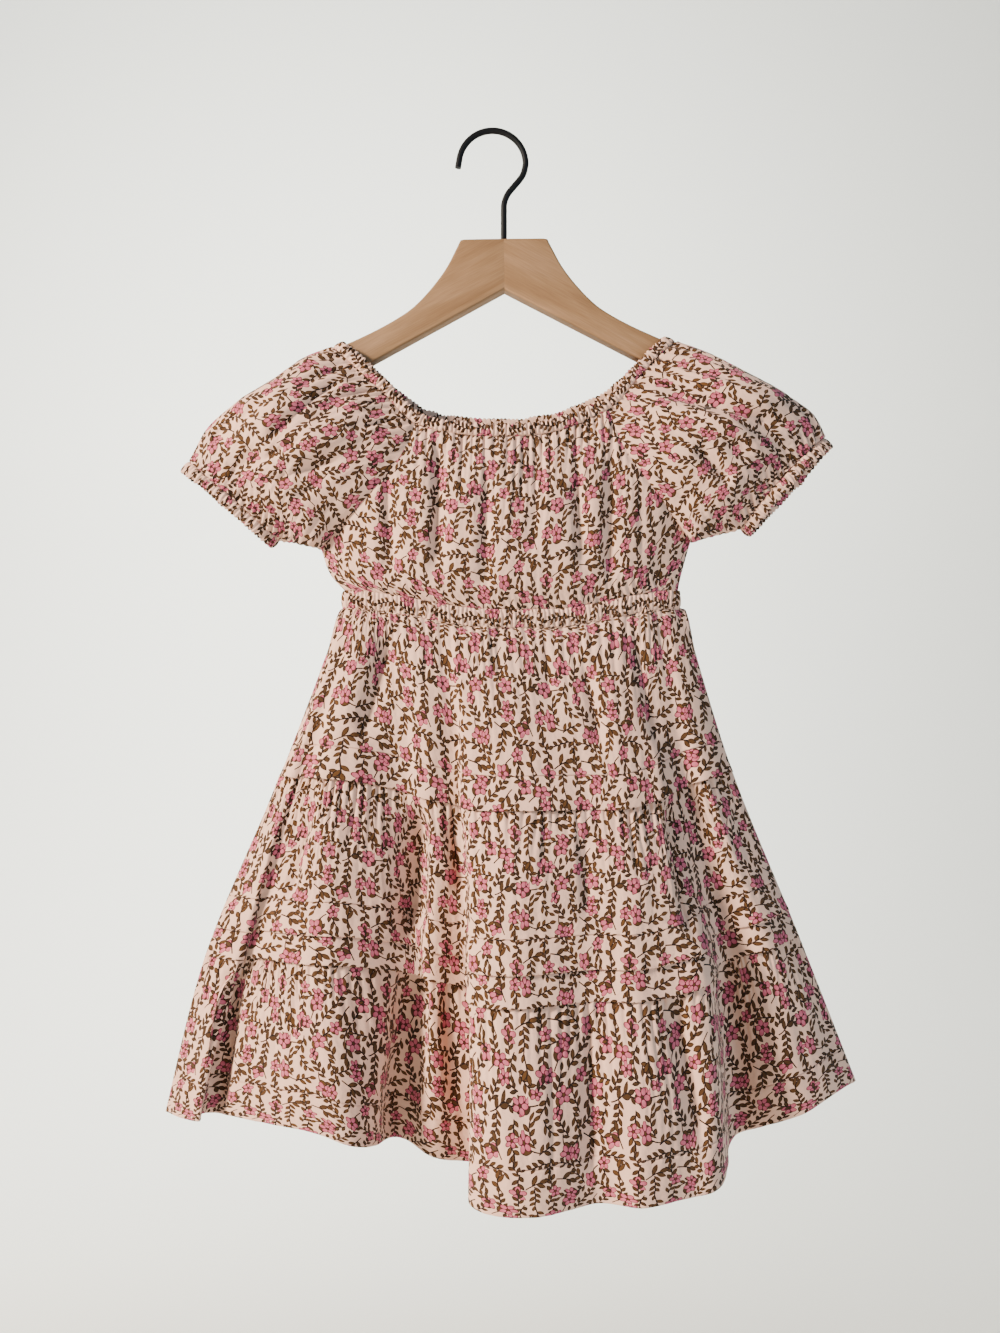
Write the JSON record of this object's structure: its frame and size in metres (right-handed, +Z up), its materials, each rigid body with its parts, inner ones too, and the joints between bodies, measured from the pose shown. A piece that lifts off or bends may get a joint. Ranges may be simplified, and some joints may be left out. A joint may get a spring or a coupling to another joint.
{
  "type": "tiered dress on a hanger",
  "caption": "Child's short-sleeved dress with gathered neck and waist casings, raglan puff sleeves and a tiered, tucked skirt, hung on a wooden hanger with a wire hook.",
  "frame": {"origin": "top of the space inside the wire hook, where a rail or peg carries the hanger", "axes": "+Z up, front of the dress facing -Y, +X to the right as seen from the front"},
  "size_m": [0.4656, 0.105, 0.6905],
  "materials": {
    "cotton": "soft matt printed cotton",
    "wood": "satin varnish",
    "black_wire": "satin black"
  },
  "bodies": {
    "root": {"front_bodice": "cotton", "back_bodice": "cotton", "sleeve_left": "cotton", "sleeve_right": "cotton", "neck_casing": "cotton", "waist_casing": "cotton", "cuff_casing_left": "cotton", "cuff_casing_right": "cotton", "tier_1_front": "cotton", "tier_1_back": "cotton", "tier_2_front": "cotton", "tier_2_back": "cotton", "tier_3_front": "cotton", "tier_3_back": "cotton", "hanger_arm_left": "wood", "hanger_arm_right": "wood", "hanger_hook": "black_wire"}
  },
  "joints": []
}
